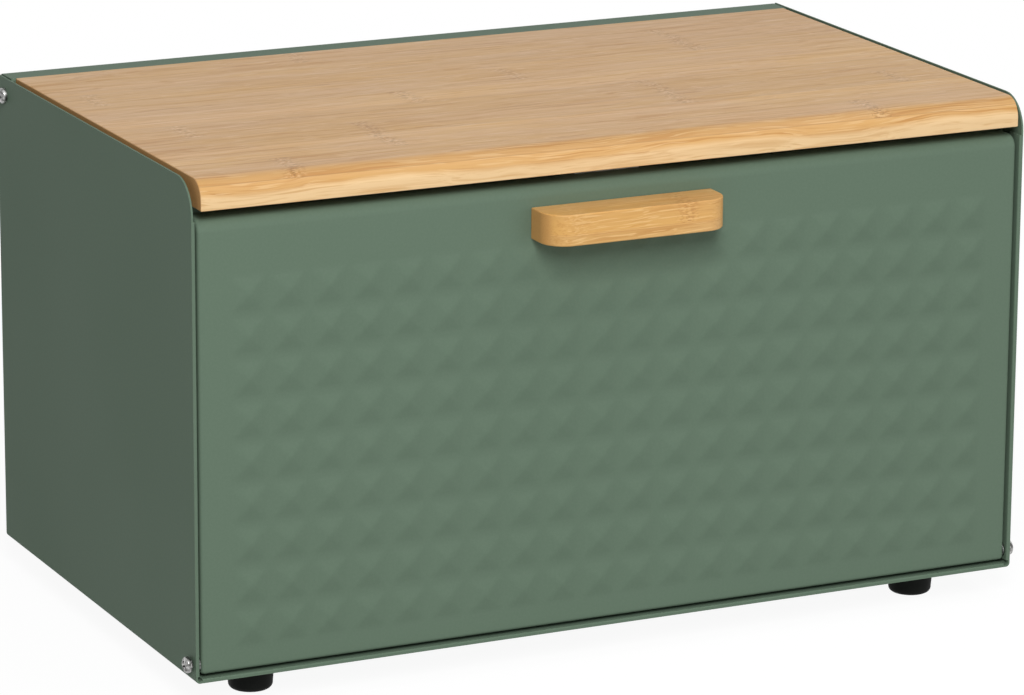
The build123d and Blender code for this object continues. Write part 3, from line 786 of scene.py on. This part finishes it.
def cross_head():
    """A pan head with a tapered cross recess, standing on its underside."""
    dome_start = math.degrees(math.acos((HEAD_RADIUS - DOME_INSET) / DOME_RADIUS))
    dome = arc((0, HEAD_HEIGHT - DOME_RADIUS), DOME_RADIUS, dome_start, 90, 8)
    profile = [(0, 0), (HEAD_RADIUS - HEAD_EDGE, 0), (HEAD_RADIUS, HEAD_EDGE), (HEAD_RADIUS, HEAD_SIDE)]
    profile += [(HEAD_RADIUS - HEAD_EDGE, HEAD_SIDE + 2 * HEAD_EDGE)] + dome
    head = add_object("head_blank", lathe(profile, 40, "head_blank"))
    work = bmesh.new()
    for turn in (0, 90):
        spin = Matrix.Rotation(math.radians(turn), 4, "Z")
        top, foot = CROSS_WIDTH / 2, CROSS_WIDTH / 4
        rim_z, floor_z = HEAD_HEIGHT - HEAD_EDGE, HEAD_HEIGHT - CROSS_DEPTH
        ring = [(-top, HEAD_HEIGHT + MM), (top, HEAD_HEIGHT + MM), (top, rim_z), (foot, floor_z),
                (-foot, floor_z), (-top, rim_z)]
        sides = [[work.verts.new(spin @ Vector((x, side * CROSS_SLOT / 2, z))) for x, z in ring]
                 for side in (-1, 1)]
        work.faces.new(sides[0])
        work.faces.new(list(reversed(sides[1])))
        for k in range(len(ring)):
            after = (k + 1) % len(ring)
            work.faces.new((sides[0][k], sides[1][k], sides[1][after], sides[0][after]))
    bmesh.ops.recalc_face_normals(work, faces=work.faces)
    cutter_mesh = bpy.data.meshes.new("cross_cutter")
    work.to_mesh(cutter_mesh)
    work.free()
    cutter = add_object("cross_cutter", cutter_mesh)
    cut = head.modifiers.new("recess", "BOOLEAN")
    cut.operation = "DIFFERENCE"
    cut.solver = "EXACT"
    cut.use_self = True
    cut.object = cutter
    settle(head)
    bpy.data.objects.remove(cutter)
    work = bmesh.new()
    work.from_mesh(head.data)
    bmesh.ops.remove_doubles(work, verts=work.verts, dist=CUT_SLIVER)
    bmesh.ops.dissolve_degenerate(work, dist=CUT_SLIVER / 10, edges=work.edges)
    work.to_mesh(head.data)
    work.free()
    head.data.set_sharp_from_angle(angle=math.radians(30.0))
    shape = head.data
    bpy.data.objects.remove(head)
    return keep_hidden(shape, "screw_head")


def shank():
    """A unit-long threaded shank that hangs below the head's underside."""
    profile = [(0, 0), (SHANK_NECK, 0)]
    for k in range(SHANK_TURNS):
        profile += [(SHANK_CREST, -(k + 0.5) / SHANK_TURNS), (SHANK_ROOT, -(k + 1.0) / SHANK_TURNS)]
    profile += [(0, -1.0)]
    return keep_hidden(lathe(profile, 16, "screw_shank"), "screw_shank")


def spots_of(node, direction, head_height):
    """Where a node's screws stand: the underside of each head, its direction and its shank's length."""
    loose = bmesh.new()
    loose.from_mesh(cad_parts[node].data)
    bmesh.ops.remove_doubles(loose, verts=loose.verts, dist=WELD)
    waiting = set(loose.verts)
    spots = []
    while waiting:
        island, queue = set(), [next(iter(waiting))]
        while queue:
            vert = queue.pop()
            if vert in island:
                continue
            island.add(vert)
            queue += [edge.other_vert(vert) for edge in vert.link_edges]
        waiting -= island
        low = Vector([min(v.co[k] for v in island) for k in range(3)])
        high = Vector([max(v.co[k] for v in island) for k in range(3)])
        middle = (low + high) / 2
        along = Vector(direction)
        length = abs((high - low).dot(along))
        head_top = middle + along * length / 2
        spots.append((head_top - along * head_height, direction, length - head_height))
    loose.free()
    return sorted(spots, key=lambda spot: tuple(spot[0]))


def screw_set(name, body, sources):
    """One mesh of screws for a body: heads with their recess, and shanks as long as the CAD's."""
    spots = []
    for node, direction, head_height in sources:
        spots += spots_of(node, direction, head_height)
    heads = scatter(f"{name}_heads", head_part,
                    [(place, direction, (1, 1, 1)) for place, direction, _ in spots], zinc_plate)
    shanks = scatter(f"{name}_shanks", shank_part,
                     [(place, direction, (1, 1, length)) for place, direction, length in spots], zinc_plate)
    nodes = [node for node, _, _ in sources]
    place_piece(heads, body, "zinc_steel", *nodes)
    place_piece(shanks, body, "zinc_steel", *nodes)


head_part = cross_head()
shank_part = shank()
screw_set("cabinet_screws", "cabinet", (
    ("rear_screw_left", (-1, 0, 0), HEAD_HEIGHT), ("rear_screw_right", (1, 0, 0), HEAD_HEIGHT),
    ("board_screws", (0, 0, -1), WOOD_HEAD), ("catch_screws", (0, 0, -1), WOOD_HEAD)))
screw_set("flap_screws", "door", (
    ("pivot_screw_left", (-1, 0, 0), HEAD_HEIGHT), ("pivot_screw_right", (1, 0, 0), HEAD_HEIGHT),
    ("grip_screws", (0, 1, 0), WOOD_HEAD)))

# Nuts, washers, pads and the catch keep their CAD outlines, with slightly rounded edges
for node, body, slot_name, material, width in (
    ("rear_nut_left", "cabinet", "zinc_steel", zinc_plate, SMALL_EASE),
    ("rear_nut_right", "cabinet", "zinc_steel", zinc_plate, SMALL_EASE),
    ("pivot_nut_left", "door", "zinc_steel", zinc_plate, SMALL_EASE),
    ("pivot_nut_right", "door", "zinc_steel", zinc_plate, SMALL_EASE),
    ("grip_washers", "door", "zinc_steel", zinc_plate, SMALL_EASE),
    # The pivot washers take the darker copy of the zinc, painted shade for their gap
    ("pivot_washer_left", "door", "zinc_steel", dull_zinc, SMALL_EASE),
    ("pivot_washer_right", "door", "zinc_steel", dull_zinc, SMALL_EASE),
    ("left_bumper", "cabinet", "bumper_rubber", pad_rubber, PAD_EASE),
    ("right_bumper", "cabinet", "bumper_rubber", pad_rubber, PAD_EASE),
    ("catch_housing", "cabinet", "catch_plastic", housing_plastic, HOUSING_EASE),
    ("catch_magnet", "cabinet", "ferrite", ferrite, MAGNET_EASE),
    ("catch_poles", "cabinet", "pole_steel", rolled_steel, SMALL_EASE),
):
    place_piece(eased_copy(node, f"{node}_finished", material, width), body, slot_name, node)


# Floor, backdrop, light and camera

def seen_rays(tree):
    """One for rays that show a surface: the camera's, and those of reflections and glass."""
    path = put(tree, "ShaderNodeLightPath").outputs
    shown = maths(tree, "MAXIMUM", path["Is Glossy Ray"], path["Is Transmission Ray"])
    return maths(tree, "MAXIMUM", path["Is Camera Ray"], shown)


FLOOR_HALF = 4.0
FLOOR_DROP = 0.2 * MM
FLOOR_TONE = 0.60
FLOOR_SEEN_TONE = 1.35
SHADOW_FADE = 0.93
SHADOW_FADES_FROM = 0.26
SHADOW_FADES_TO = 0.60
WORLD_LEVEL = 0.15
BOX_MIDDLE = (0.0, 0.0, 0.11)


def floor_material():
    """Pale floor that the camera sees as white away from the object, with the object's soft shadow kept."""
    material = bpy.data.materials.new("pale_floor")
    material.use_nodes = True
    tree = material.node_tree
    tree.nodes.clear()
    leaving = put(tree, "ShaderNodeOutputMaterial")
    place = put(tree, "ShaderNodeTexCoord").outputs["Object"]
    distance = put(tree, "ShaderNodeVectorMath", {"operation": "LENGTH"}, {0: place}).outputs["Value"]
    seen = seen_rays(tree)
    plain = put(tree, "ShaderNodeBsdfDiffuse", {}, {"Color": grey(FLOOR_TONE)}).outputs[0]
    bright = put(tree, "ShaderNodeBsdfDiffuse", {}, {"Color": grey(FLOOR_SEEN_TONE)}).outputs[0]
    white = put(tree, "ShaderNodeEmission", {}, {"Strength": 1.0}).outputs[0]
    far = remap(tree, distance, SHADOW_FADES_FROM, SHADOW_FADES_TO, SHADOW_FADE, 1.0)
    shown = put(tree, "ShaderNodeMixShader", {}, {0: far, 1: bright, 2: white}).outputs[0]
    result = put(tree, "ShaderNodeMixShader", {}, {0: seen, 1: plain, 2: shown}).outputs[0]
    tree.links.new(result, leaving.inputs["Surface"])
    return material


floor_mesh = bpy.data.meshes.new("floor")
floor_mesh.from_pydata([(-FLOOR_HALF, -FLOOR_HALF, 0), (FLOOR_HALF, -FLOOR_HALF, 0),
                        (FLOOR_HALF, FLOOR_HALF, 0), (-FLOOR_HALF, FLOOR_HALF, 0)], [], [(0, 1, 2, 3)])
floor = add_object("floor", floor_mesh, floor_material())
floor.location.z = -FLOOR_DROP


def studio_world():
    """Even pale surroundings that the camera and reflections see as white."""
    world = bpy.data.worlds.new("studio")
    bpy.context.scene.world = world
    world.use_nodes = True
    tree = world.node_tree
    tree.nodes.clear()
    leaving = put(tree, "ShaderNodeOutputWorld")
    seen = seen_rays(tree)
    around = put(tree, "ShaderNodeBackground", {}, {"Color": grey(1), "Strength": WORLD_LEVEL}).outputs[0]
    white = put(tree, "ShaderNodeBackground", {}, {"Color": grey(1), "Strength": 1.0}).outputs[0]
    mixed = put(tree, "ShaderNodeMixShader", {}, {0: seen, 1: around, 2: white}).outputs[0]
    tree.links.new(mixed, leaving.inputs["Surface"])


def softbox(name, place, target, width, height, power):
    """A rectangular soft light aimed at a point."""
    lamp = bpy.data.lights.new(name, "AREA")
    lamp.shape = "RECTANGLE"
    lamp.size, lamp.size_y = width, height
    lamp.energy = power
    holder = bpy.data.objects.new(name, lamp)
    bpy.context.scene.collection.objects.link(holder)
    holder.location = place
    holder.rotation_euler = (Vector(target) - Vector(place)).to_track_quat("-Z", "Y").to_euler()


studio_world()
softbox("key_softbox", (-0.80, -1.96, 1.62), BOX_MIDDLE, 0.75, 1.20, 52.8)
softbox("fill_softbox", (1.20, -2.25, 0.45), BOX_MIDDLE, 1.30, 0.80, 8.0)
softbox("top_softbox", (0.62, -0.45, 1.60), BOX_MIDDLE, 0.90, 0.90, 5.0)

# Camera fitted to the photograph's corners
CAMERA_YAW = 25.534
CAMERA_PITCH = 15.197
CAMERA_ROLL = 0.324
CAMERA_PLACE = (-0.88348, -1.84724, 0.65883)
FOCAL_PIXELS = 5199.0
PHOTO_WIDTH = 1024


def photo_camera():
    data = bpy.data.cameras.new("photo_camera")
    data.sensor_width = 36.0
    data.lens = FOCAL_PIXELS / PHOTO_WIDTH * data.sensor_width
    data.clip_start, data.clip_end = 0.05, 50.0
    camera = bpy.data.objects.new("photo_camera", data)
    bpy.context.scene.collection.objects.link(camera)
    yaw, pitch, roll = map(math.radians, (CAMERA_YAW, CAMERA_PITCH, CAMERA_ROLL))
    forward = Vector((math.sin(yaw) * math.cos(pitch), math.cos(yaw) * math.cos(pitch), -math.sin(pitch)))
    level = Vector((math.cos(yaw), -math.sin(yaw), 0.0))
    upright = level.cross(forward)
    right = level * math.cos(roll) + upright * math.sin(roll)
    up = upright * math.cos(roll) - level * math.sin(roll)
    turn = Matrix((right, up, -forward)).transposed().to_4x4()
    camera.matrix_world = Matrix.Translation(CAMERA_PLACE) @ turn
    bpy.context.scene.camera = camera


photo_camera()
bpy.context.scene.view_settings.view_transform = "Standard"
